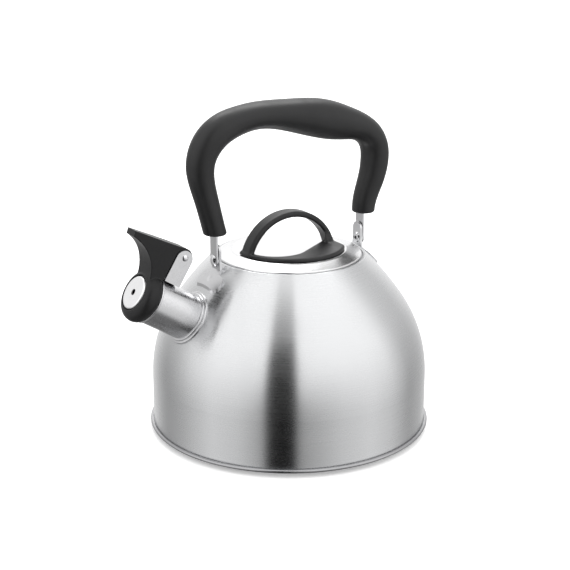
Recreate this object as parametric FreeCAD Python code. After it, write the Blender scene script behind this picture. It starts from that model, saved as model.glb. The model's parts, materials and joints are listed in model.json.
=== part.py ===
import FreeCAD, Part
import math
import os

# Stovetop whistling kettle. Millimetres and degrees. +Z up, origin on the body axis at the
# resting plane, spout towards -X, handle and spout in the plane Y = 0.

V = FreeCAD.Vector

# Clearances
bond = 0.0                 # pieces welded or moulded together share one surface
still_gap = 0.3            # between faces of pieces that move apart
pin_gap = 0.1              # radial running clearance of a hinge pin
side_gap = 0.2             # axial play beside a hinge plate

# Body shell
sheet = 0.8
body_radius = 94.7
wall_top = 38.0
shoulder_radius = 92.0
shoulder_sweep = 34.0
dome_radius = 200.0

# Base
cover_sheet = 0.6
heat_disc_thickness = 2.5
heat_disc_inset = 12.7     # the heat disc's edge inside the body's wall
seam_reach = 2.3           # how far the rolled seam stands out of the wall
seam_tail = 0.5            # length of the seam's upper leg

# Lid and its seat in the dome
lid_radius = 49.35
lid_seat_gap = 0.7
seat_lip_radius = 1.25 * sheet
seat_depth = 1.5 * seat_lip_radius
collar_inset = 7.35        # the filling hole's collar inside the lid's edge
collar_depth = 6.0
lid_hem_radius = 1.25 * sheet
lid_hem_tail = 3.0
lid_slope = 15.0
ridge_inset = 9.35         # the foot of the lid's raised middle inside the lid's edge
ridge_rise = 0.5
ridge_run = 1.2
skirt_sheet = 0.6
skirt_gap = 0.6
skirt_depth = 11.0
skirt_flange = 4.0

# Knob: a flat loop standing on a comma-shaped base
knob_base_inset = 11.7     # the knob's rounded edge inside the lid's edge
knob_base_height = 2.6
knob_edge_radius = 1.4
knob_tip_radius = 6.5
loop_inset = 2.5           # the loop's outer radius is less than the base's by this
loop_thickness = 4.2
loop_edge_radius = 1.3
loop_drop = 8.1            # the loop's centre below the lid's plateau
loop_centre_x = -2.6
loop_width = 11.0
loop_centre_y = -3.0
loop_blend = 7.0           # radius of the hollow between the base and the loop's right leg
hollow_left = (-0.59, -0.58)   # two places on the base's hollow edge, as shares of its radius
hollow_low = (-0.05, -0.56)
hollow_end = 0.6           # where the hollow edge meets the right leg, as a share of its width
knob_screw_radius = 1.0
knob_screw_grip = 4.4
knob_screw_head_radius = 2.3
knob_screw_head_height = 1.5
knob_screw_head_round = 0.6
knob_screw_slot = 0.6      # width of the slot for a screwdriver
knob_washer_radius = 2.8
knob_washer_thickness = 0.5

# Spout, in its own frame: distance along its axis from the dome, and height across it
spout_radius = 15.6
spout_sheet = 0.8
spout_reach = 33.2
spout_tilt = 32.0
spout_rise = 51.6          # the spout's axis above the top of the upright wall
spout_root = 4.0
spout_lip = 0.8
flange_steps = ((3.0, 1.3), (1.5, 2.4))   # each bead's reach around the spout, and height
flange_edge_radius = 0.6

# Cap hinge bracket on the spout
bracket_sheet = 1.2
bracket_back = 6.0         # bracket centre behind the spout's lip
bracket_length = 12.0
bracket_side_gap = 0.3     # between the lever's boss and each plate
bracket_crown = 4.8        # the plates' rounded tops above the pin
bracket_crown_start = 1.0  # and where the rounding starts below it
cap_pin_rise = 18.6        # the hinge pin above the spout's tube
cap_pin_radius = 1.6
cap_pin_head_radius = 2.8
cap_pin_head_height = 0.9

# Whistle cap with its thumb lever
cap_bore_inset = 4.3       # the whistle's bore inside the spout's radius
cap_overhang = 2.1         # the cap's widest part outside the spout's radius
cap_face_inset = 2.9
cap_belly = 0.42           # where the cap is widest, as a share of its depth
cap_depth = 10.6
cap_seat_inset = 1.6
cap_seat_step = 2.8
lever_width = 18.4
lever_boss_width = 16.0
lever_boss_gap = 0.6       # between the lever's wide part and the bracket's front edges
lever_tip_width = 11.5
lever_taper_start = 2.0    # the taper starts this far in front of the cap's face
lever_boss_radius = 6.0
lever_boss_low = 215       # where the lever's underside leaves the boss, as an angle round the pin
lever_tip_reach = 33.0     # lever tip beyond the spout's lip
lever_tip_thickness = 3.9
lever_tip_rise = 1.4       # the lever's tip above the hinge pin's height
lever_tip_slant = 0.8
lever_hollow_drop = 9.3    # middle of the hollow front, below the pin
lever_hollow_reach = 17.2  # and in front of the spout's lip
lever_root_inset = 5.0     # the lever's root inside the spout's radius
lever_root_back = 1.0      # and behind the cap's face
whistle_sheet = 0.8
whistle_hole_radius = 2.1
whistle_proud = 0.5        # the front disc stands out of the cap's face by this
whistle_groove = 0.9       # width of the groove around it in the cap's face
whistle_groove_depth = 1.4
whistle_rear_hole_radius = 1.2
whistle_rim = 3.0
whistle_bend = 1.2
retainer_sheet = 0.7
retainer_set_back = 0.4
retainer_inset = 2.4

# Handle
pivot_inset = 7.85         # each strap's inner face outside the lid's edge
pivot_rise = 8.635         # the pivots above the dome below them
strap_width = 8.8
strap_sheet = 1.2
strap_insert = 26.0
strap_bend_radius = 6.0
washer_thickness = 0.5
ear_sheet = 1.5
ear_top = 11.3
ear_top_flat = 0.1         # half of the flat left between the top's two round corners
ear_margin = 0.3           # the ear's plate is wider than the strap by this on each side
ear_spread = 1.3           # and wider again by this where it meets the dome
ear_foot_width = 28.0
ear_foot_reach = 8.8       # the foot's front edge outside the plate
ear_foot_start = 1.5       # and the back edges of its two wings
ear_foot_corner = 4.2
ear_wing_corner = 3.0
ear_root_corner = 1.2      # in the corners between the plate and the wings
ear_weld_radius = 2.2      # dent of the spot weld in the middle of the foot
ear_weld_depth = 0.35
rivet_radius = 2.4
rivet_head_reach = 1.9     # the rivet's head outside its shank
rivet_head_height = 1.6
rivet_curl_reach = 1.3
rivet_curl_step = 0.5
rivet_curl_height = 0.8
grip_overhang = 10.8       # the grip's widest centre line outside the strap
grip_rise = 93.3
grip_rings = 26            # evenly spaced sections that the grip's surface is drawn through
section_points = 16        # points that each section is drawn through
grip_end_rise = 18.0       # the grip's flat ends above the pivots
grip_end_round = 1.4
# Grip stations from the rear end to the front end: place across the span, height as a share
# of the rise, thickness in the handle's plane, width across it. The first and the last lie
# below the flat ends.
grip_stations = (
    (0.846, 0.131, 15.4, 15.8),
    (0.898, 0.265, 16.4, 16.8),
    (0.921, 0.332, 17.0, 17.4),
    (0.974, 0.439, 18.2, 18.8),
    (1.014, 0.579, 19.2, 20.4),
    (0.997, 0.699, 18.8, 21.8),
    (0.914, 0.790, 18.8, 23.2),
    (0.757, 0.856, 20.6, 24.6),
    (0.588, 0.889, 24.4, 25.6),
    (0.412, 0.921, 26.4, 26.0),
    (0.206, 0.953, 25.2, 25.4),
    (0.000, 0.978, 21.9, 24.2),
    (-0.206, 0.997, 19.1, 23.2),
    (-0.412, 0.998, 18.1, 22.4),
    (-0.618, 0.970, 19.0, 22.0),
    (-0.794, 0.915, 20.4, 21.6),
    (-0.919, 0.825, 20.0, 20.6),
    (-0.984, 0.697, 18.8, 19.2),
    (-0.966, 0.557, 16.9, 17.4),
    (-0.911, 0.407, 15.6, 16.2),
    (-0.876, 0.306, 15.2, 16.3),
    (-0.811, 0.131, 14.6, 16.4),
)

AXIS_X = V(1, 0, 0)
AXIS_Y = V(0, 1, 0)
AXIS_Z = V(0, 0, 1)
ORIGIN = V(0, 0, 0)
FAR = 400.0                # larger than the object, for cutting blocks
TINY = 1e-6                # closer than this, two points are one
NEAR = 0.01                # allowance when an edge is picked by its place
CUT_PAST = 1.0             # how far a hole's tool runs past the faces it cuts


# Flat outlines are drawn as (radius, height) pairs in the plane Y = 0.

def polar(centre, radius, angle):
    turn = math.radians(angle)
    return (centre[0] + radius * math.cos(turn), centre[1] + radius * math.sin(turn))


def arc(centre, radius, start, end):
    """An arc as its start, middle and end points, angles in degrees."""
    return tuple(polar(centre, radius, a) for a in (start, (start + end) / 2, end))


def bend(before, corner, after, radius):
    """The arc of this radius that rounds a corner between two straight runs."""
    u = (before[0] - corner[0], before[1] - corner[1])
    w = (after[0] - corner[0], after[1] - corner[1])
    u = tuple(c / math.hypot(*u) for c in u)
    w = tuple(c / math.hypot(*w) for c in w)
    half = math.acos(u[0] * w[0] + u[1] * w[1]) / 2
    reach = radius / math.tan(half)
    middle = (u[0] + w[0], u[1] + w[1])
    length = math.hypot(*middle)
    depth = radius / math.sin(half) - radius
    return (
        (corner[0] + u[0] * reach, corner[1] + u[1] * reach),
        (corner[0] + middle[0] / length * depth, corner[1] + middle[1] / length * depth),
        (corner[0] + w[0] * reach, corner[1] + w[1] * reach),
    )


def circle_centre(a, b, c):
    d = 2 * (a[0] * (b[1] - c[1]) + b[0] * (c[1] - a[1]) + c[0] * (a[1] - b[1]))
    aa = a[0] ** 2 + a[1] ** 2
    bb = b[0] ** 2 + b[1] ** 2
    cc = c[0] ** 2 + c[1] ** 2
    return (
        (aa * (b[1] - c[1]) + bb * (c[1] - a[1]) + cc * (a[1] - b[1])) / d,
        (aa * (c[0] - b[0]) + bb * (a[0] - c[0]) + cc * (b[0] - a[0])) / d,
    )


def joined(pieces):
    """A path of arcs, with straight runs between the pieces that don't meet."""
    path = []
    for piece in pieces:
        if path:
            gap = math.dist(path[-1][-1], piece[0])
            if gap > TINY:
                path.append((path[-1][-1], piece[0]))
        if len(piece) > 1:
            path.append(tuple(piece))
        elif not path:
            path.append((piece[0], piece[0]))
    return [edge for edge in path if math.dist(edge[0], edge[-1]) > TINY]


def shifted(edge, distance):
    """A line or arc moved to its left by a distance."""
    if len(edge) == 2:
        (x0, z0), (x1, z1) = edge
        run = math.hypot(x1 - x0, z1 - z0)
        nx = -(z1 - z0) / run * distance
        nz = (x1 - x0) / run * distance
        return ((x0 + nx, z0 + nz), (x1 + nx, z1 + nz))
    centre = circle_centre(*edge)
    radius = math.dist(centre, edge[0])
    cross = (edge[1][0] - edge[0][0]) * (edge[2][1] - edge[1][1])
    cross -= (edge[1][1] - edge[0][1]) * (edge[2][0] - edge[1][0])
    factor = 1 - distance / radius * math.copysign(1, cross)
    return tuple(
        (centre[0] + (p[0] - centre[0]) * factor, centre[1] + (p[1] - centre[1]) * factor)
        for p in edge
    )


def curve(edge, place):
    points = [place(p) for p in edge]
    if len(points) == 2:
        return Part.LineSegment(points[0], points[1]).toShape()
    return Part.Arc(points[0], points[1], points[2]).toShape()


def upright(p):
    return V(p[0], 0, p[1])


def level(p):
    return V(p[0], p[1], 0)


def face_of(path, place=upright):
    """The flat face inside a path, closed by a straight run if it is open."""
    edges = list(path)
    if math.dist(edges[-1][-1], edges[0][0]) > TINY:
        edges.append((edges[-1][-1], edges[0][0]))
    return Part.Face(Part.Wire([curve(e, place) for e in edges]))


def sheet_face(path, thickness):
    """The section of a sheet that lies to the left of a path."""
    other = [tuple(reversed(shifted(edge, thickness))) for edge in reversed(path)]
    ends = [(path[-1][-1], other[0][0])]
    return face_of(list(path) + ends + other)


def polygon(points):
    return [(points[i], points[(i + 1) % len(points)]) for i in range(len(points))]


def turned(face, axis=AXIS_Z):
    return face.revolve(ORIGIN, axis, 360)


def rod(radius, start, end, radius_end=None):
    """A round bar, or a cone, along Z."""
    if radius_end is None or abs(radius_end - radius) < TINY:
        return Part.makeCylinder(radius, end - start, V(0, 0, start))
    return Part.makeCone(radius, radius_end, end - start, V(0, 0, start))


def block(low, high):
    size = high - low
    return Part.makeBox(size.x, size.y, size.z, low)


def one_solid(shape):
    """The largest solid of a shape, cleaned of seams left by the cuts."""
    solids = sorted(shape.removeSplitter().Solids, key=lambda s: s.Volume)
    return solids[-1]


def save(name, *shapes):
    solids = []
    for shape in shapes:
        solids.extend(shape.Solids)
    out = solids[0] if len(solids) == 1 else Part.makeCompound(solids)
    out.exportStep(os.path.join("parts", name + ".step"))


# Heights and places that follow from the driving dimensions
heat_disc_radius = body_radius - heat_disc_inset
opening_radius = lid_radius - collar_inset
ridge_radius = lid_radius - ridge_inset
knob_base_radius = lid_radius - knob_base_inset
loop_outer_radius = knob_base_radius - loop_inset
spout_height = wall_top + spout_rise
cap_pin_height = spout_radius + cap_pin_rise
cap_bore_radius = spout_radius - cap_bore_inset
cap_radius = spout_radius + cap_overhang
cap_face_radius = spout_radius - cap_face_inset
cap_seat_radius = spout_radius - cap_seat_inset
bracket_slot = lever_boss_width + 2 * bracket_side_gap
pivot_x = lid_radius + pivot_inset
grip_half_span = pivot_x + grip_overhang
rivet_head_radius = rivet_radius + rivet_head_reach
rivet_curl_radius = rivet_radius + rivet_curl_reach
rivet_bore_radius = rivet_radius / 2
washer_radius = strap_width / 2
pan_bottom = cover_sheet + heat_disc_thickness
pan_top = pan_bottom + sheet
hem_radius = 1.5 * sheet
hem_centre = (body_radius + seam_reach - hem_radius, pan_bottom + hem_radius)
flange_top = pan_top + sheet
shoulder_centre = (body_radius - shoulder_radius, wall_top)
shoulder_end = polar(shoulder_centre, shoulder_radius, shoulder_sweep)
dome_centre = polar(shoulder_end, -dome_radius, shoulder_sweep)
seat_radius = lid_radius + lid_seat_gap
lip_x = seat_radius + seat_lip_radius
lip_distance = dome_radius - seat_lip_radius
lip_turn = math.degrees(math.acos((lip_x - dome_centre[0]) / lip_distance))
lip_centre = polar(dome_centre, lip_distance, lip_turn)
seat_z = lip_centre[1] + seat_lip_radius - seat_depth
pivot_dome_z = dome_centre[1] + math.sqrt(dome_radius ** 2 - (pivot_x - dome_centre[0]) ** 2)
pivot_height = pivot_dome_z + pivot_rise


def dome_radius_at(z):
    """Outer radius of the body at a height."""
    if z <= wall_top:
        return body_radius
    if z <= shoulder_end[1]:
        rise = z - wall_top
        return shoulder_centre[0] + math.sqrt(shoulder_radius ** 2 - rise ** 2)
    rise = z - dome_centre[1]
    return dome_centre[0] + math.sqrt(dome_radius ** 2 - rise ** 2)


def body_outline():
    """The body's outer surface, from the seam flange up and over the lid seat."""
    flange_end = (hem_centre[0], flange_top)
    foot = bend(flange_end, (body_radius, flange_top), (body_radius, wall_top), sheet / 2)
    collar_end = (opening_radius, seat_z - collar_depth)
    seat_corner = (seat_radius, seat_z)
    collar_corner = (opening_radius, seat_z)
    return joined([
        (flange_end,),
        foot,
        arc(shoulder_centre, shoulder_radius, 0, shoulder_sweep),
        arc(dome_centre, dome_radius, shoulder_sweep, lip_turn),
        arc(lip_centre, seat_lip_radius, lip_turn, 180),
        bend((seat_radius, lip_centre[1]), seat_corner, collar_corner, sheet / 2),
        bend(seat_corner, collar_corner, collar_end, 1.5 * sheet),
        (collar_end,),
    ])


def body_solid():
    """Everything inside the body's outer surface, to trim what stands on it."""
    path = joined([
        ((0, 0),),
        ((body_radius, 0),),
        arc(shoulder_centre, shoulder_radius, 0, shoulder_sweep),
        arc(dome_centre, dome_radius, shoulder_sweep, lip_turn),
        ((0, polar(dome_centre, dome_radius, lip_turn)[1]),),
    ])
    return turned(face_of(path))


def body_band(thickness):
    """A layer of this thickness on the outside of the body's shoulder and dome."""
    inner = [
        arc(shoulder_centre, shoulder_radius, 0, shoulder_sweep),
        arc(dome_centre, dome_radius, shoulder_sweep, lip_turn),
    ]
    outer = [tuple(reversed(shifted(edge, -thickness))) for edge in reversed(inner)]
    return turned(face_of(joined(inner + outer)))


spout_origin = V(-dome_radius_at(spout_height), 0, spout_height)
spout_place = FreeCAD.Placement(spout_origin, FreeCAD.Rotation(AXIS_Y, spout_tilt - 90))


def on_spout(shape):
    """Moves a shape from the spout's frame (Z along it, X across and up) to the body's."""
    shape.Placement = spout_place.multiply(shape.Placement)
    return shape


# Body and base

def body_shell():
    shell = turned(sheet_face(body_outline(), sheet))
    hole = on_spout(rod(spout_radius + bond, -spout_root - 2 * spout_radius, spout_root))
    return one_solid(shell.cut(hole))


def base_pan():
    path = joined([
        ((0, pan_bottom),),
        arc(hem_centre, hem_radius, -90, 90),
        ((hem_centre[0] - seam_tail, flange_top + sheet),),
    ])
    return turned(sheet_face(path, sheet))


def heat_disc():
    disc = rod(heat_disc_radius, cover_sheet, pan_bottom)
    edge = [e for e in disc.Edges if e.BoundBox.ZMax < cover_sheet + NEAR]
    return disc.makeChamfer(cover_sheet, edge)


def base_cover():
    outside = heat_disc_radius + cover_sheet
    rim = (outside, pan_bottom)
    path = joined([
        ((0, 0),),
        bend((0, 0), (outside, 0), rim, 1.5 * cover_sheet),
        (rim,),
    ])
    return turned(sheet_face(path, cover_sheet))


# Lid

lid_bottom = seat_z + still_gap
lid_hem_centre = (lid_radius - lid_hem_radius, lid_bottom + lid_hem_radius)
lid_top_edge = polar(lid_hem_centre, lid_hem_radius, 90 - lid_slope)
ridge_z = lid_top_edge[1]
ridge_z += (lid_top_edge[0] - ridge_radius) * math.tan(math.radians(lid_slope))
plateau_z = ridge_z + ridge_rise
plateau_radius = ridge_radius - ridge_run
lid_underside = plateau_z - sheet


def lid_cover():
    ridge = (ridge_radius, ridge_z)
    step = (plateau_radius, plateau_z)
    inner = (plateau_radius / 2, plateau_z)
    path = joined([
        ((lid_radius - lid_hem_tail, lid_bottom),),
        arc(lid_hem_centre, lid_hem_radius, -90, 90 - lid_slope),
        bend(lid_top_edge, ridge, step, 0.75 * sheet),
        bend(ridge, step, inner, 1.5 * sheet),
        ((0, plateau_z),),
    ])
    cover = turned(sheet_face(path, sheet))
    for x in knob_screw_places():
        hole = rod(knob_screw_radius + pin_gap, lid_underside - sheet, plateau_z + sheet)
        hole.translate(V(x, loop_centre_y, 0))
        cover = cover.cut(hole)
    return one_solid(cover)


def slope_underside(radius):
    """Height of the underside of the lid's sloping rim at a radius."""
    slope = math.radians(lid_slope)
    return ridge_z - (radius - ridge_radius) * math.tan(slope) - sheet / math.cos(slope)


def lid_skirt():
    """A ring that centres the lid in the collar, with a flange under the sloping rim."""
    inside = opening_radius - skirt_gap - skirt_sheet
    end = (inside + skirt_flange, slope_underside(inside + skirt_flange))
    corner = (inside, slope_underside(inside))
    low = (inside, lid_underside - skirt_depth)
    path = joined([
        (end,),
        bend(end, corner, low, 2 * skirt_sheet),
        (low,),
    ])
    return turned(sheet_face(path, skirt_sheet))


loop_centre_z = plateau_z - loop_drop
loop_inner_radius = loop_outer_radius - loop_thickness
loop_middle_radius = loop_outer_radius - loop_thickness / 2


def loop_reach(radius, height):
    return math.sqrt(radius ** 2 - height ** 2)


def knob_screw_places():
    """Screw places under the two feet of the loop, at half their grip in the foot."""
    reach = loop_reach(loop_middle_radius, loop_drop + knob_screw_grip / 2)
    return (loop_centre_x - reach, loop_centre_x + reach)


def knob_plan():
    """The comma-shaped outline of the knob's base, widest under the right foot."""
    front = loop_centre_y - loop_width / 2
    back = loop_centre_y + loop_width / 2
    left_in = loop_centre_x - loop_reach(loop_inner_radius, loop_drop)
    right_in = loop_centre_x + loop_reach(loop_inner_radius, loop_drop)
    right_out = loop_centre_x + loop_reach(loop_outer_radius, loop_drop)
    left_out = (-loop_reach(knob_base_radius, back), back)
    tip_x = right_out
    tip_radius = knob_tip_radius
    # The rounded tip touches the outer circle from inside and the edge at tip_x.
    tip_centre = (tip_x - tip_radius, -loop_reach(knob_base_radius - tip_radius, tip_x - tip_radius))
    tip_angle = math.degrees(math.atan2(tip_centre[1], tip_centre[0]))
    left_angle = math.degrees(math.atan2(left_out[1], left_out[0]))
    hollow = (
        (left_in, front),
        tuple(share * knob_base_radius for share in hollow_left),
        tuple(share * knob_base_radius for share in hollow_low),
    )
    path = joined([
        arc((0, 0), knob_base_radius, left_angle, 360 + tip_angle),
        arc(tip_centre, tip_radius, tip_angle, 0),
        ((tip_x, back),),
        ((right_in, back),),
        ((right_in, front + hollow_end * loop_width),),
        tuple(reversed(hollow)),
        ((left_in, back),),
    ])
    return face_of(path, level)


def knob_blend():
    """The hollow fillet between the base's top and the front of the loop's right leg."""
    front = loop_centre_y - loop_width / 2
    low = plateau_z + knob_base_height
    start = loop_centre_x + loop_reach(loop_inner_radius, low + loop_blend - loop_centre_z)
    end = loop_centre_x + loop_reach(loop_outer_radius, low + loop_blend - loop_centre_z)
    corner = block(V(start, front - loop_blend, low), V(end, front, low + loop_blend))
    middle = V(start, front - loop_blend, low + loop_blend)
    return corner.cut(Part.makeCylinder(loop_blend, end - start, middle, AXIS_X))


def lid_knob():
    depth = V(0, loop_width, 0)
    centre = V(loop_centre_x, loop_centre_y - loop_width / 2, loop_centre_z)
    loop = Part.makeCylinder(loop_outer_radius, loop_width, centre, AXIS_Y)
    loop = loop.cut(Part.makeCylinder(loop_inner_radius, loop_width, centre, AXIS_Y))
    above = block(V(-FAR, -FAR, plateau_z), V(FAR, FAR, FAR))
    loop = loop.common(above)
    edges = [e for e in loop.Edges if e.Curve.TypeId == "Part::GeomCircle"]
    edges = [e for e in edges if e.BoundBox.YLength < NEAR]
    loop = loop.makeFillet(loop_edge_radius, edges)
    base = knob_plan().extrude(V(0, 0, knob_base_height))
    rim = [e for e in base.Edges if e.BoundBox.ZMin > knob_base_height - NEAR]
    rim = [e for e in rim if e.BoundBox.XLength > knob_base_radius]
    base = base.makeFillet(knob_edge_radius, rim[:1])
    base.translate(V(0, 0, plateau_z))
    knob = loop.fuse(base).fuse(knob_blend())
    for x in knob_screw_places():
        hole = rod(knob_screw_radius + bond, plateau_z - CUT_PAST, plateau_z + knob_screw_grip)
        hole.translate(V(x, loop_centre_y, 0))
        knob = knob.cut(hole)
    return one_solid(knob)


def knob_fixings():
    """Screws driven up from under the lid into the knob's feet, and their washers."""
    screws = []
    washers = []
    washer_low = lid_underside - knob_washer_thickness
    for x in knob_screw_places():
        shank = rod(knob_screw_radius, washer_low, plateau_z + knob_screw_grip)
        head = rod(knob_screw_head_radius, washer_low - knob_screw_head_height, washer_low)
        low_edge = [e for e in head.Edges if e.BoundBox.ZMax < washer_low - NEAR]
        head = head.makeFillet(knob_screw_head_round, low_edge)
        slot_depth = knob_screw_head_height / 2
        slot_low = washer_low - knob_screw_head_height
        slot = block(
            V(-knob_screw_head_radius, -knob_screw_slot / 2, slot_low),
            V(knob_screw_head_radius, knob_screw_slot / 2, slot_low + slot_depth),
        )
        screw = shank.fuse(head).cut(slot)
        screw.translate(V(x, loop_centre_y, 0))
        screws.append(one_solid(screw))
        washer = rod(knob_washer_radius, washer_low, lid_underside)
        washer = washer.cut(rod(knob_screw_radius + pin_gap, washer_low, lid_underside))
        washer.translate(V(x, loop_centre_y, 0))
        washers.append(washer)
    return screws, washers


# Spout and cap, drawn in the spout's frame

lip_z = spout_reach
seat_plane = lip_z + still_gap
cap_front = seat_plane + cap_depth
bracket_z = lip_z - bracket_back
bracket_outside = bracket_slot / 2 + bracket_sheet


def spout_tube():
    """A tube whose end is rolled outwards."""
    bead = (spout_radius, lip_z - spout_lip)
    path = joined([arc(bead, spout_lip, 90, -90)])
    wall = polygon([
        (spout_radius - spout_sheet, -spout_root),
        (spout_radius, -spout_root),
        (spout_radius, lip_z),
        (spout_radius - spout_sheet, lip_z),
    ])
    tube = turned(face_of(wall)).fuse(turned(face_of(path)))
    return on_spout(one_solid(tube))


def spout_flange():
    """A double-beaded collar around the root of the spout, lying along the body."""
    ring = None
    for reach, height in flange_steps:
        around = on_spout(rod(spout_radius + reach, -2 * spout_root, 2 * spout_root))
        bead = around.common(body_band(height))
        bead = one_solid(bead.cut(on_spout(rod(spout_radius, -3 * spout_root, 3 * spout_root))))
        top = [e for e in bead.Edges if is_outer_rim(e, spout_radius + reach, height)]
        bead = bead.makeFillet(flange_edge_radius, top)
        ring = bead if ring is None else ring.fuse(bead)
    return one_solid(ring)


def is_outer_rim(edge, radius, height):
    """True for an edge on a bead's outside, away from the body."""
    samples = edge.discretize(8)
    points = [spout_place.inverse().multVec(p) for p in samples]
    on_radius = all(abs(math.hypot(p.x, p.y) - radius) < NEAR for p in points)
    middle = samples[len(samples) // 2]
    from_axis = math.hypot(middle.x, middle.y)
    return on_radius and from_axis > dome_radius_at(middle.z) + height / 2


def cap_bracket():
    """A U of sheet steel on top of the spout, with a plate each side of the lever."""
    half = bracket_length / 2
    base = block(
        V(spout_radius, -bracket_outside, bracket_z - half),
        V(spout_radius + bracket_sheet, bracket_outside, bracket_z + half),
    )
    outline = joined([
        ((spout_radius, bracket_z - half),),
        (
            (cap_pin_height - bracket_crown_start, bracket_z - half),
            (cap_pin_height + bracket_crown, bracket_z),
            (cap_pin_height - bracket_crown_start, bracket_z + half),
        ),
        ((spout_radius, bracket_z + half),),
    ])
    plate = face_of(outline).extrude(V(0, bracket_sheet, 0))
    bracket = base
    for y in (-bracket_outside, bracket_slot / 2):
        side = plate.copy()
        side.translate(V(0, y, 0))
        bracket = bracket.fuse(side)
    bracket = bracket.cut(cap_pin_bar(cap_pin_radius + bond, 2 * bracket_outside))
    bracket = bracket.cut(rod(spout_radius + spout_lip, lip_z - 2 * spout_lip, lip_z))
    return on_spout(one_solid(bracket))


def cap_pin_bar(radius, length):
    middle = V(cap_pin_height, -length / 2, bracket_z)
    return Part.makeCylinder(radius, length, middle, AXIS_Y)


def cap_pin():
    pin = cap_pin_bar(cap_pin_radius, 2 * bracket_outside)
    dome = cap_pin_head_height + cap_pin_head_radius ** 2 / (4 * cap_pin_head_height)
    for side in (-1, 1):
        start = V(cap_pin_height, side * bracket_outside, bracket_z)
        head = Part.makeCylinder(cap_pin_head_radius, cap_pin_head_height, start, V(0, side, 0))
        centre = start + V(0, side * (cap_pin_head_height - dome), 0)
        pin = pin.fuse(head.common(Part.makeSphere(dome, centre)))
    return on_spout(one_solid(pin))


def cap_lever():
    """The thumb lever: a boss between the plates, a thumb tip and a hollow front."""
    pin = (cap_pin_height, bracket_z)
    tip = lip_z + lever_tip_reach
    boss_top = (pin[0] + lever_boss_radius, pin[1])
    boss_back = (pin[0], pin[1] - lever_boss_radius)
    boss_low = polar(pin, lever_boss_radius, lever_boss_low)
    boss_under = polar(pin, lever_boss_radius, (lever_boss_low + 270) / 2)
    boss_behind = polar(pin, lever_boss_radius, (270 + 360) / 2)
    tip_top = (cap_pin_height + lever_tip_rise, tip)
    tip_low = (tip_top[0] - lever_tip_thickness, tip - lever_tip_slant)
    root = spout_radius - lever_root_inset
    front_low = (root, cap_front - lever_root_back)
    front_mid = (cap_pin_height - lever_hollow_drop, lip_z + lever_hollow_reach)
    path = joined([
        (boss_top,),
        (tip_top,),
        (tip_low,),
        (tip_low, front_mid, front_low),
        ((root, seat_plane + cap_seat_step),),
        ((spout_radius, seat_plane),),
        ((spout_radius + spout_lip, seat_plane),),
        (boss_low,),
        (boss_low, boss_under, boss_back),
        (boss_back, boss_behind, boss_top),
    ])
    lever = face_of(path).extrude(V(0, lever_width, 0))
    lever.translate(V(0, -lever_width / 2, 0))
    step = lip_z + lever_boss_gap
    taper = cap_front + lever_taper_start
    half_plan = [
        (0, lever_boss_width / 2),
        (step, lever_boss_width / 2),
        (step, lever_width / 2),
        (taper, lever_width / 2),
        (tip, lever_tip_width / 2),
    ]
    plan = polygon(half_plan + [(s, -y) for s, y in reversed(half_plan)])
    sides = face_of(plan, lambda p: V(0, p[1], p[0])).extrude(V(FAR, 0, 0))
    return lever.common(sides)


def cap_housing():
    """The moulded ring that closes the spout, in one piece with its lever."""
    back_radius = spout_radius + spout_lip
    outer = joined([
        ((cap_bore_radius, seat_plane),),
        ((back_radius, seat_plane),),
        (
            (back_radius, seat_plane),
            (cap_radius, seat_plane + cap_belly * cap_depth),
            (cap_face_radius, cap_front),
        ),
        ((cap_bore_radius, cap_front),),
    ])
    ring = turned(face_of(outer))
    housing = ring.fuse(cap_lever())
    bore = rod(cap_bore_radius, seat_plane - CUT_PAST, FAR)
    recess = rod(cap_seat_radius, seat_plane - CUT_PAST, seat_plane + cap_seat_step)
    groove = rod(cap_bore_radius + whistle_groove, cap_front - whistle_groove_depth, FAR)
    housing = housing.cut(bore).cut(recess).cut(groove)
    housing = housing.cut(cap_pin_bar(cap_pin_radius + pin_gap, 2 * bracket_outside))
    return on_spout(one_solid(housing))


def whistle_front():
    """The dished steel disc in the cap's face, with the whistle hole."""
    back = (cap_bore_radius, cap_front - whistle_rim)
    front = cap_front + whistle_proud
    path = joined([
        (back,),
        bend(back, (cap_bore_radius, front), (0, front), whistle_bend),
        ((whistle_hole_radius, front),),
    ])
    return on_spout(turned(sheet_face(path, whistle_sheet)))


def whistle_rear():
    """The inner disc of the whistle, with its smaller hole."""
    low = seat_plane + cap_seat_step
    disc = rod(cap_bore_radius, low, low + whistle_sheet)
    return on_spout(disc.cut(rod(whistle_rear_hole_radius, low, low + whistle_sheet)))


def cap_retainer():
    """A steel ring pressed into the cap's rear recess, holding the inner disc."""
    start = (cap_seat_radius, seat_plane + retainer_set_back)
    corner = (cap_seat_radius, seat_plane + cap_seat_step)
    end = (cap_bore_radius - retainer_inset, seat_plane + cap_seat_step)
    path = joined([
        (start,),
        bend(start, corner, end, 2 * retainer_sheet),
        (end,),
    ])
    return on_spout(turned(sheet_face(path, retainer_sheet)))


# Handle. Pieces are drawn for the rear side (+X) and mirrored for the front.

strap_outside = pivot_x + strap_sheet
washer_start = pivot_x - side_gap / 2 - washer_thickness
ear_outside = washer_start
ear_inside = ear_outside - ear_sheet


def for_side(shape, side):
    if side > 0:
        return shape
    return shape.mirror(ORIGIN, AXIS_X)


def grip_point(share):
    return (share[0] * grip_half_span, pivot_height + share[1] * grip_rise)


def rivet_hole(radius):
    start = V(ear_inside - CUT_PAST, 0, pivot_height)
    return Part.makeCylinder(radius, strap_outside - ear_inside + 2 * CUT_PAST, start, AXIS_X)


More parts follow.
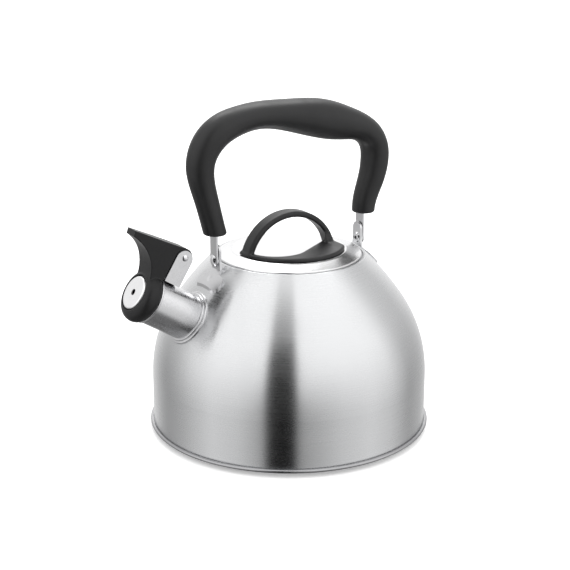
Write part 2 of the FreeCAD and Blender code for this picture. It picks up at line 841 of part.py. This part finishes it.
def ear(side):
    """A hinge plate that stands on the dome, with a foot bent outwards along it."""
    top = pivot_height + ear_top
    low = pivot_height - 2 * pivot_rise
    half = strap_width / 2 + ear_margin
    root_half = half + ear_spread
    foot_half = ear_foot_width / 2
    corner = half - ear_top_flat
    crown = joined([
        ((-half, pivot_height),),
        bend((-half, pivot_height), (-half, top), (0, top), corner),
        bend((0, top), (half, top), (half, pivot_height), corner),
        ((half, pivot_height),),
        ((root_half, pivot_dome_z),),
        ((root_half, low),),
        ((-root_half, low),),
        ((-root_half, pivot_dome_z),),
        ((-half, pivot_height),),
    ])
    plate = face_of(crown, lambda p: V(ear_inside, p[0], p[1])).extrude(V(ear_sheet, 0, 0))
    plate = plate.cut(body_solid())
    plate = max(plate.Solids, key=lambda s: s.BoundBox.ZMax)
    wing = ear_outside + ear_foot_start
    reach = ear_outside + ear_foot_reach
    plan = [
        bend((ear_inside, root_half), (wing, root_half), (wing, foot_half), ear_root_corner),
        bend((wing, root_half), (wing, foot_half), (reach, foot_half), ear_wing_corner),
        bend((wing, foot_half), (reach, foot_half), (reach, 0), ear_foot_corner),
    ]
    other = [tuple((x, -y) for x, y in reversed(corner)) for corner in reversed(plan)]
    outline = joined([((ear_inside, root_half),)] + plan + other + [((ear_inside, -root_half),)])
    foot = face_of(outline, level).extrude(V(0, 0, FAR)).common(body_band(ear_sheet))
    piece = plate.fuse(foot).cut(rivet_hole(rivet_radius + bond)).cut(weld_dent(wing, reach))
    return for_side(one_solid(piece), side)


def weld_dent(start, end):
    """The ball that leaves a spot weld's dent in the foot between two places."""
    x = (start + end) / 2
    turn = math.acos((x - dome_centre[0]) / (dome_radius + ear_sheet))
    ball = (ear_weld_radius ** 2 + ear_weld_depth ** 2) / (2 * ear_weld_depth)
    middle = polar(dome_centre, dome_radius + ear_sheet - ear_weld_depth + ball, math.degrees(turn))
    return Part.makeSphere(ball, upright(middle))


def pivot_rivet(side):
    """A rivet with a domed head outside the strap and a rolled end inside the ear."""
    head_low = strap_outside + side_gap
    shank = rod(rivet_radius, ear_inside, head_low)
    ball = rivet_head_height / 2 + rivet_head_radius ** 2 / (2 * rivet_head_height)
    head = rod(rivet_head_radius, head_low, head_low + rivet_head_height)
    centre = V(0, 0, head_low + rivet_head_height - ball)
    head = head.common(Part.makeSphere(ball, centre))
    curl_low = ear_inside - rivet_curl_height
    curl = rod(rivet_curl_radius - rivet_curl_step, curl_low, ear_inside, rivet_curl_radius)
    bore = rod(rivet_bore_radius, curl_low - CUT_PAST, ear_inside + 2 * ear_sheet)
    rivet = shank.fuse(head).fuse(curl).cut(bore)
    rivet.rotate(ORIGIN, AXIS_Y, 90)
    rivet.translate(V(0, 0, pivot_height))
    return for_side(one_solid(rivet), side)


def pivot_washer(side):
    washer = rod(washer_radius, washer_start, washer_start + washer_thickness)
    washer = washer.cut(rod(rivet_radius + pin_gap, washer_start, FAR))
    washer.rotate(ORIGIN, AXIS_Y, 90)
    washer.translate(V(0, 0, pivot_height))
    return for_side(washer, side)


def strap(side):
    """A steel strap: round at the rivet, upright, then bent into the grip's leg."""
    last, second = grip_stations[:2] if side > 0 else grip_stations[:-3:-1]
    end = grip_point(last)
    above = grip_point(second)
    lean = (abs(above[0]) - abs(end[0]), above[1] - end[1])
    lean = tuple(c / math.hypot(*lean) for c in lean)
    foot = (pivot_x + strap_sheet, pivot_height - strap_width)
    knee = (pivot_x + strap_sheet, pivot_height + grip_end_rise)
    tail = (knee[0] + lean[0] * strap_insert, knee[1] + lean[1] * strap_insert)
    path = joined([
        (foot,),
        bend(foot, knee, tail, strap_bend_radius),
        (tail,),
    ])
    bar = sheet_face(path, strap_sheet).extrude(V(0, strap_width, 0))
    bar.translate(V(0, -strap_width / 2, 0))
    low_corner = block(V(0, -FAR, 0), V(FAR, FAR, pivot_height))
    eye = Part.makeCylinder(strap_width / 2, FAR, V(0, 0, pivot_height), AXIS_X)
    bar = bar.cut(low_corner.cut(eye))
    bar = bar.cut(rivet_hole(rivet_radius + pin_gap))
    key = Part.makeCylinder(strap_width / 4, FAR, V(0, 0, tail[1] - strap_insert / 2), AXIS_X)
    bar = bar.cut(key)
    return for_side(one_solid(bar), side)


def section(centre, along, thickness, width):
    """A closed elliptical section across the grip."""
    across = V(along.z, 0, -along.x)
    points = []
    for step in range(section_points):
        turn = 2 * math.pi * step / section_points
        p = across * (thickness / 2 * math.cos(turn)) + V(0, width / 2 * math.sin(turn), 0)
        points.append(centre + p)
    ring = Part.BSplineCurve()
    ring.interpolate(points, PeriodicFlag=True)
    return Part.Wire(ring.toShape())


def handle_grip():
    """The moulded arch, lofted through its stations, with sockets for both straps."""
    middles = [grip_point(s) for s in grip_stations]
    lengths = [0.0]
    for before, after in zip(middles, middles[1:]):
        lengths.append(lengths[-1] + math.dist(before, after))
    line = Part.BSplineCurve()
    line.interpolate([V(x, 0, z) for x, z in middles], Parameters=lengths)
    sizes = Part.BSplineCurve()
    sizes.interpolate([V(s[2], s[3], 0) for s in grip_stations], Parameters=lengths)
    rings = []
    for step in range(grip_rings):
        length = lengths[-1] * step / (grip_rings - 1)
        along = line.tangent(length)[0]
        along.normalize()
        size = sizes.value(length)
        rings.append(section(line.value(length), along, size.x, size.y))
    grip = Part.makeLoft(rings, True, False)
    low = pivot_height + grip_end_rise
    grip = one_solid(grip.cut(block(V(-FAR, -FAR, 0), V(FAR, FAR, low))))
    ends = [e for e in grip.Edges if e.BoundBox.ZMax < low + NEAR]
    grip = grip.makeFillet(grip_end_round, ends)
    for side in (-1, 1):
        grip = grip.cut(strap(side))
    return one_solid(grip)


def main():
    os.makedirs("parts", exist_ok=True)
    save("body_shell", body_shell())
    save("base_pan", base_pan())
    save("heat_spreader_disc", heat_disc())
    save("base_cover", base_cover())
    save("spout_tube", spout_tube())
    save("spout_flange", spout_flange())
    save("cap_bracket", cap_bracket())
    save("cap_hinge_pin", cap_pin())
    save("cap_housing", cap_housing())
    save("whistle_front_disc", whistle_front())
    save("whistle_rear_disc", whistle_rear())
    save("cap_retainer_ring", cap_retainer())
    save("front_ear", ear(-1))
    save("rear_ear", ear(1))
    save("pivot_rivets", pivot_rivet(-1), pivot_rivet(1))
    save("pivot_washers", pivot_washer(-1), pivot_washer(1))
    save("front_strap", strap(-1))
    save("rear_strap", strap(1))
    save("handle_grip", handle_grip())
    save("lid_cover", lid_cover())
    save("lid_skirt", lid_skirt())
    save("lid_knob", lid_knob())
    screws, washers = knob_fixings()
    save("knob_screws", *screws)
    save("knob_washers", *washers)


main()
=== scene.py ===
import json
import math

import bpy
from mathutils import Matrix, Vector


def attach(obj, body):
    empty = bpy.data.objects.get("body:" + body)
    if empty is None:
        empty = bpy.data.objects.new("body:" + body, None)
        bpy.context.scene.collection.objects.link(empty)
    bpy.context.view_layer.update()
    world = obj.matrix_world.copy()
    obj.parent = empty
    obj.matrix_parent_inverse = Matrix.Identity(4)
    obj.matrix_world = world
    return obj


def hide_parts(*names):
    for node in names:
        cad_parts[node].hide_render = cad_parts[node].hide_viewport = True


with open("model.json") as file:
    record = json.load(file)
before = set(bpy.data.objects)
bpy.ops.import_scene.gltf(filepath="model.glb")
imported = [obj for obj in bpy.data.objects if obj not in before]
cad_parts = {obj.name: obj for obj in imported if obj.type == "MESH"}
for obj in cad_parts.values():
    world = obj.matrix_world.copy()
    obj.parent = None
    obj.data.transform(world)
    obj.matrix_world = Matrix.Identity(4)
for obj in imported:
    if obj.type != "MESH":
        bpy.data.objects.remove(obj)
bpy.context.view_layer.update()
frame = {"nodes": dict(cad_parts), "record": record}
NODES = frame["nodes"]
AXIS_Z = Vector((0, 0, 1))
MILLIMETRE = 1e-3


# --- node helpers -------------------------------------------------------------------------

class Tree:
    """Short calls for building a material's nodes."""

    def __init__(self, owner):
        owner.use_nodes = True
        self.tree = owner.node_tree
        self.tree.nodes.clear()

    def add(self, kind, inputs=(), **settings):
        node = self.tree.nodes.new(kind)
        for name, value in settings.items():
            setattr(node, name, value)
        for key, value in dict(inputs).items():
            socket = node.inputs[key]
            if isinstance(value, bpy.types.NodeSocket):
                self.tree.links.new(value, socket)
            else:
                socket.default_value = value
        return node

    def math(self, operation, a, b=0.0, clamp=False):
        node = self.add("ShaderNodeMath", {0: a, 1: b}, operation=operation)
        node.use_clamp = clamp
        return node.outputs[0]

    def ramp(self, value, stops, interpolation="EASE"):
        """A grey ramp through (place, brightness) stops."""
        node = self.add("ShaderNodeValToRGB", {0: value})
        node.color_ramp.interpolation = interpolation
        elements = node.color_ramp.elements
        while len(elements) > 1:
            elements.remove(elements[-1])
        elements[0].position = stops[0][0]
        elements[0].color = (stops[0][1],) * 3 + (1,)
        for place, shade in stops[1:]:
            elements.new(place).color = (shade, shade, shade, 1)
        return node.outputs[0]

    def spread(self, value, low, high, span=(0.0, 1.0)):
        """Maps value from span to low..high."""
        node = self.add("ShaderNodeMapRange", {0: value, 1: span[0], 2: span[1], 3: low, 4: high})
        return node.outputs[0]

    def tint(self, share, dark, light):
        node = self.add("ShaderNodeMix", {0: share}, data_type="RGBA")
        node.inputs[6].default_value = (*dark, 1)
        node.inputs[7].default_value = (*light, 1)
        return node.outputs[2]


AXIS_GAP = 1e-5            # keeps the division finite on the axis itself


def turned_grain(t, around, across):
    """Fine lines that run round the Z axis: a noise that is slow around it and fast across."""
    at = t.add("ShaderNodeTexCoord").outputs["Object"]
    split = t.add("ShaderNodeSeparateXYZ", {0: at})
    x, y, z = split.outputs
    radius = t.math("SQRT", t.math("ADD", t.math("MULTIPLY", x, x), t.math("MULTIPLY", y, y)))
    radius = t.math("ADD", radius, AXIS_GAP)
    profile = t.math("SUBTRACT", z, radius)
    place = t.add("ShaderNodeCombineXYZ", {
        0: t.math("MULTIPLY", t.math("DIVIDE", x, radius), around),
        1: t.math("MULTIPLY", t.math("DIVIDE", y, radius), around),
        2: t.math("MULTIPLY", profile, across),
    })
    return place.outputs[0]


def straight_grain(t, scale):
    """Grain stretched along the axis whose scale is smallest, or even where all are equal."""
    at = t.add("ShaderNodeTexCoord").outputs["Object"]
    return t.add("ShaderNodeVectorMath", {0: at, 1: scale}, operation="MULTIPLY").outputs[0]


def noise(t, place, scale, detail=3.0, rough=0.6):
    return t.add("ShaderNodeTexNoise", {
        "Vector": place, "Scale": scale, "Detail": detail, "Roughness": rough,
    }).outputs[0]


def steel(name, dark, light, rough, grain, streak=0.05, bump=0.02, anisotropic=0.0, turn=0.0,
          wear=0.06):
    """Stainless steel: a grain that shades, roughens and engraves it, with faint handling marks."""
    material = bpy.data.materials.new(name)
    t = Tree(material)
    lines = noise(t, grain(t), 1.0, 4.0, 0.7)
    at = t.add("ShaderNodeTexCoord").outputs["Object"]
    marks = noise(t, at, 28.0, 5.0, 0.65)
    smears = noise(t, at, 9.0, 2.0, 0.5)
    mixed = t.math("ADD", t.math("MULTIPLY", lines, 0.7), t.math("MULTIPLY", smears, 0.3))
    colour = t.tint(t.spread(mixed, 0.0, 1.0, (0.3, 0.7)), dark, light)
    roughness = t.math("ADD", t.spread(lines, rough - streak, rough + streak, (0.25, 0.75)),
                       t.spread(marks, -wear, wear, (0.3, 0.7)))
    relief = t.add("ShaderNodeBump", {"Strength": 1.0, "Distance": bump * MILLIMETRE, "Height": lines})
    shader = t.add("ShaderNodeBsdfPrincipled", {
        "Base Color": colour, "Metallic": 1.0, "Roughness": roughness,
        "Normal": relief.outputs[0], "Anisotropic": anisotropic,
        "Anisotropic Rotation": turn,
    })
    if anisotropic:
        tangent = t.add("ShaderNodeTangent", direction_type="RADIAL", axis="Z")
        t.tree.links.new(tangent.outputs[0], shader.inputs["Tangent"])
    t.add("ShaderNodeOutputMaterial", {0: shader.outputs[0]})
    return material


def plastic(name, dark, light, rough, gloss=0.5, pebble=9000.0, bump=0.012):
    """Moulded plastic: a fine pebbled skin, slight cloudiness and rubbed patches."""
    material = bpy.data.materials.new(name)
    t = Tree(material)
    at = t.add("ShaderNodeTexCoord").outputs["Object"]
    cloud = noise(t, at, 30.0, 3.0, 0.55)
    skin = noise(t, at, pebble, 2.0, 0.5)
    rubbed = noise(t, at, 75.0, 4.0, 0.6)
    colour = t.tint(t.spread(cloud, 0.0, 1.0, (0.3, 0.7)), dark, light)
    roughness = t.math("ADD", t.spread(rubbed, rough - 0.05, rough + 0.06, (0.3, 0.7)),
                       t.spread(skin, -0.03, 0.03, (0.3, 0.7)))
    relief = t.add("ShaderNodeBump", {"Strength": 0.6, "Distance": bump * MILLIMETRE, "Height": skin})
    shader = t.add("ShaderNodeBsdfPrincipled", {
        "Base Color": colour, "Roughness": roughness, "Normal": relief.outputs[0],
        "Specular IOR Level": gloss,
    })
    t.add("ShaderNodeOutputMaterial", {0: shader.outputs[0]})
    return material


def rings(around, across):
    return lambda t: turned_grain(t, around, across)


def lines(*scale):
    return lambda t: straight_grain(t, scale)


MATERIALS = {
    "brushed_body": steel("brushed_body", (0.61, 0.615, 0.625), (0.675, 0.68, 0.685), 0.27,
                          rings(2.0, 4500.0), streak=0.03, bump=0.006, anisotropic=0.92, turn=0.25,
                          wear=0.03),
    # rolled_seam is a darker copy of the body steel: its darker colour is painted reflection, standing
    # in for the dark surroundings the rolled bead reflects
    "rolled_seam": steel("rolled_seam", (0.32, 0.32, 0.33), (0.46, 0.46, 0.47), 0.3,
                         rings(3.0, 2500.0)),
    "heat_disc": steel("heat_disc", (0.6, 0.6, 0.61), (0.72, 0.72, 0.73), 0.4,
                       rings(6.0, 1500.0)),
    "base_steel": steel("base_steel", (0.48, 0.48, 0.49), (0.62, 0.62, 0.63), 0.32,
                        rings(4.0, 2500.0)),
    "spout_steel": steel("spout_steel", (0.58, 0.58, 0.59), (0.7, 0.7, 0.71), 0.24,
                         lines(900.0, 900.0, 900.0)),
    "polished_steel": steel("polished_steel", (0.58, 0.58, 0.59), (0.72, 0.72, 0.73), 0.24,
                            lines(400.0, 400.0, 400.0), streak=0.03, bump=0.004),
    "bracket_steel": steel("bracket_steel", (0.6, 0.6, 0.61), (0.74, 0.74, 0.75), 0.32,
                           lines(900.0, 3000.0, 500.0)),
    "rivet_steel": steel("rivet_steel", (0.66, 0.66, 0.67), (0.8, 0.8, 0.81), 0.18,
                         lines(1500.0, 1500.0, 1500.0)),
    "lid_steel": steel("lid_steel", (0.64, 0.64, 0.645), (0.72, 0.72, 0.725), 0.22,
                       rings(3.0, 4500.0), streak=0.03, bump=0.006),
    "whistle_steel": steel("whistle_steel", (0.9, 0.9, 0.905), (0.98, 0.98, 0.985), 0.42,
                           lines(1200.0, 1200.0, 1200.0)),
    "cap_plastic": plastic("cap_plastic", (0.006, 0.006, 0.0065), (0.010, 0.010, 0.0105), 0.38,
                           gloss=0.3),
    "grip_plastic": plastic("grip_plastic", (0.006, 0.006, 0.0065), (0.011, 0.011, 0.0115), 0.42,
                            gloss=0.42),
    "knob_plastic": plastic("knob_plastic", (0.006, 0.006, 0.0065), (0.011, 0.011, 0.0115), 0.42,
                            gloss=0.42),
}
SLOT_OF = {part["node"]: part["material_slot"] for part in frame["record"]["subparts"]}

for node_name, node in NODES.items():
    finish = MATERIALS[SLOT_OF[node_name]]
    if not node.material_slots:
        node.data.materials.append(finish)
    for holder in node.material_slots:
        holder.material = finish


# --- mouldings ----------------------------------------------------------------------------

def moulding(name, node_name, body, grid, rounds):
    """Redraws a moulded CAD part with soft edges: a voxel skin, smoothed a few rounds."""
    piece = bpy.data.objects.new(name, NODES[node_name].data.copy())
    bpy.context.scene.collection.objects.link(piece)
    skin = piece.modifiers.new("skin", "REMESH")
    skin.mode = "VOXEL"
    skin.voxel_size = grid
    melt = piece.modifiers.new("melt", "SMOOTH")
    melt.factor = 0.5
    melt.iterations = rounds
    bpy.context.view_layer.update()
    finished = piece.evaluated_get(bpy.context.evaluated_depsgraph_get())
    mesh = bpy.data.meshes.new_from_object(finished)
    piece.modifiers.clear()
    piece.data = mesh
    mesh.polygons.foreach_set("use_smooth", [True] * len(mesh.polygons))
    slot = SLOT_OF[node_name]
    mesh.materials.clear()
    mesh.materials.append(MATERIALS[slot])
    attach(piece, body)
    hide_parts(node_name)


moulding("knob_moulding", "lid_knob", "lid", 0.0005, 10)
moulding("cap_moulding", "cap_housing", "whistle_cap", 0.0003, 4)


# --- studio -------------------------------------------------------------------------------

MIDDLE = Vector((0, 0, 0.12))
CAMERA_SIDE = math.atan2(-0.8526, -0.5225)   # where the camera stands, seen from the kettle
WALL_TOP = 1.42            # brightness of the studio: its upper walls,
CEILING = 1.45             # straight above,
TABLE = 0.2                # and far below, which only shiny undersides see


def studio_world():
    """A soft studio all around: white above, greyer walls below, a narrow dark flag in front."""
    world = bpy.data.worlds.new("studio")
    bpy.context.scene.world = world
    t = Tree(world)
    towards = t.add("ShaderNodeTexCoord").outputs["Generated"]
    split = t.add("ShaderNodeSeparateXYZ", {0: towards})
    x, y, z = split.outputs
    front_x, front_y = math.cos(CAMERA_SIDE), math.sin(CAMERA_SIDE)
    ahead = t.math("ADD", t.math("MULTIPLY", x, front_x), t.math("MULTIPLY", y, front_y))
    aside = t.math("SUBTRACT", t.math("MULTIPLY", y, front_x), t.math("MULTIPLY", x, front_y))
    turn = t.math("ARCTAN2", aside, ahead)
    around = t.spread(turn, 0.0, 1.0, (-math.pi, math.pi))

    def at(degrees):
        return 0.5 + degrees / 360.0

    def smooth(low, high):
        node = t.add("ShaderNodeMapRange", {0: z, 1: low, 2: high}, interpolation_type="SMOOTHSTEP")
        return node.outputs[0]

    def mixed(share, a, b):
        return t.add("ShaderNodeMix", {0: share, 2: a, 3: b}, data_type="FLOAT").outputs[0]

    low_walls = t.ramp(around, [
        (at(-175), 1.0), (at(-150), 0.80), (at(-122), 0.38), (at(-98), 0.55), (at(-66), 0.98),
        (at(-43), 0.84), (at(-26), 0.52), (at(-19), 0.32), (at(7), 0.28), (at(16), 0.44),
        (at(45), 0.84), (at(72), 1.0), (at(94), 0.80), (at(118), 0.44), (at(145), 0.60),
        (at(172), 1.0),
    ], "LINEAR")
    high_walls = t.ramp(around, [
        (at(-165), 1.0), (at(-135), 0.58), (at(-108), 0.66), (at(-90), 1.0), (at(90), 1.0),
        (at(110), 0.64), (at(135), 0.56), (at(165), 1.0),
    ], "LINEAR")
    high_walls = t.math("MULTIPLY", high_walls, WALL_TOP)
    walls = mixed(smooth(-0.32, 0.42), low_walls, high_walls)
    walls = mixed(smooth(-0.78, -0.48), TABLE, walls)
    room = mixed(smooth(0.72, 0.96), walls, CEILING)
    flag = t.ramp(around, [(at(-21), 1.0), (at(-17.5), 0.0), (at(4.5), 0.0), (at(9), 1.0)], "LINEAR")
    flag = t.math("MAXIMUM", flag, smooth(0.70, 0.98))
    room = t.math("MULTIPLY", room, flag)
    seen = t.add("ShaderNodeLightPath").outputs["Is Camera Ray"]
    room = mixed(seen, room, 1.0)
    light = t.add("ShaderNodeBackground", {"Color": room, "Strength": 1.0})
    t.add("ShaderNodeOutputWorld", {0: light.outputs[0]})


def floor():
    bpy.ops.mesh.primitive_plane_add(size=12.0, location=(0, 0, 0))
    plane = bpy.context.object
    plane.name = "floor"
    material = bpy.data.materials.new("floor_paper")
    t = Tree(material)
    at = t.add("ShaderNodeTexCoord").outputs["Object"]
    fibre = noise(t, at, 400.0, 2.0, 0.5)
    colour = t.tint(fibre, (0.93, 0.93, 0.93), (0.96, 0.96, 0.96))
    shader = t.add("ShaderNodeBsdfPrincipled", {
        "Base Color": colour, "Roughness": 0.9, "Specular IOR Level": 0.0,
        "Emission Color": (1, 1, 1, 1), "Emission Strength": 0.3,
    })
    t.add("ShaderNodeOutputMaterial", {0: shader.outputs[0]})
    plane.data.materials.append(material)
    plane.visible_glossy = False


def softbox(name, bearing, elevation, distance, size, power):
    """A rectangular lamp that looks at the kettle, placed by its bearing from the camera's side."""
    data = bpy.data.lights.new(name, "AREA")
    data.shape = "RECTANGLE"
    data.size, data.size_y = size
    data.energy = power
    lamp = bpy.data.objects.new(name, data)
    bpy.context.scene.collection.objects.link(lamp)
    turn = CAMERA_SIDE + math.radians(bearing)
    rise = math.radians(elevation)
    away = Vector((math.cos(turn) * math.cos(rise), math.sin(turn) * math.cos(rise), math.sin(rise)))
    lamp.location = MIDDLE + away * distance
    lamp.rotation_euler = (-away).to_track_quat("-Z", "Y").to_euler()


def camera():
    """The photograph's viewpoint: 0.94 m away, 17.6 degrees down, a portrait-length lens."""
    distance, height, pitch, roll = 0.8626, 0.3730, math.radians(17.633), math.radians(0.158)
    side = Vector((math.cos(CAMERA_SIDE), math.sin(CAMERA_SIDE), 0))
    data = bpy.data.cameras.new("camera")
    data.sensor_width = 36.0
    data.lens = 83.41
    data.shift_x = -0.0074
    data.clip_start = 0.05
    view = bpy.data.objects.new("camera", data)
    bpy.context.scene.collection.objects.link(view)
    aim = -side * math.cos(pitch) - AXIS_Z * math.sin(pitch)
    turn = aim.to_track_quat("-Z", "Y").to_matrix().to_4x4() @ Matrix.Rotation(roll, 4, "Z")
    view.matrix_world = Matrix.Translation(side * distance + AXIS_Z * height) @ turn
    bpy.context.scene.camera = view


studio_world()
floor()
softbox("back_softbox", 180.0, 58.0, 1.7, (1.5, 0.7), 12.0)
camera()
bpy.context.scene.view_settings.view_transform = "Standard"
